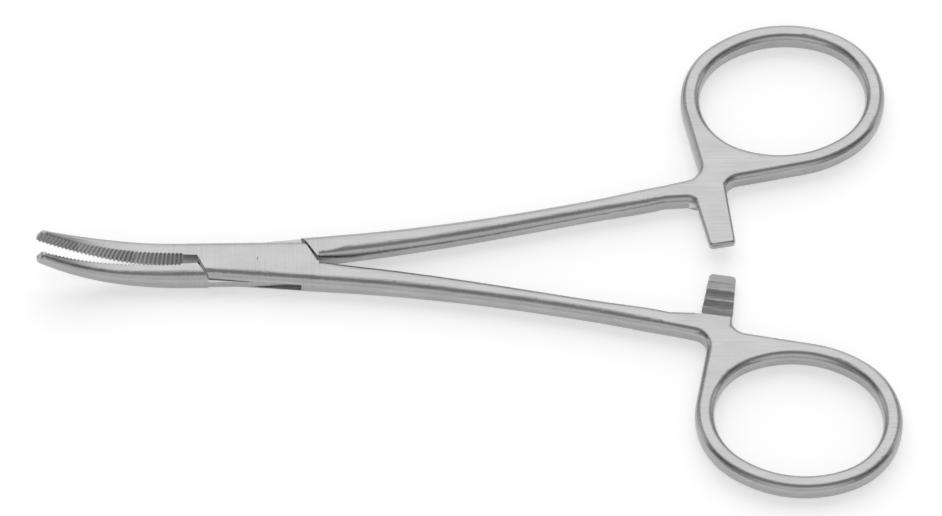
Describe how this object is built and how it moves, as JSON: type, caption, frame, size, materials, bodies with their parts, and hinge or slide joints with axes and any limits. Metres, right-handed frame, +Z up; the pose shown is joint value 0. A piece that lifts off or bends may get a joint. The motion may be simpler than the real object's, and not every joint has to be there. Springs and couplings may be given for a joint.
{
  "type": "hemostat forceps",
  "caption": "Curved locking forceps: slender serrated jaws, a box-lock pivot, two shanks with a ratchet catch and oval finger rings.",
  "frame": {"origin": "on the pivot axis, at the flat underside of the box lock", "axes": "+X from the pivot along the instrument to the finger rings, +Y towards the ring of the through half, +Z up out of the box along the pivot axis, the way the jaw tips curve"},
  "size_m": [0.1232, 0.0792, 0.0085],
  "materials": {
    "box_half_steel": "satin",
    "through_half_steel": "satin",
    "pin_steel": "satin"
  },
  "bodies": {
    "box_body": {"box_half": "box_half_steel", "pivot_pin": "pin_steel"},
    "through_body": {"through_half": "through_half_steel"}
  },
  "joints": [
    {"name": "box_lock", "type": "hinge", "parent": "box_body", "child": "through_body", "pos_m": [0, 0, 0.0019], "axis": [0, 0, 1], "range_deg": [-5.2, 35]}
  ]
}
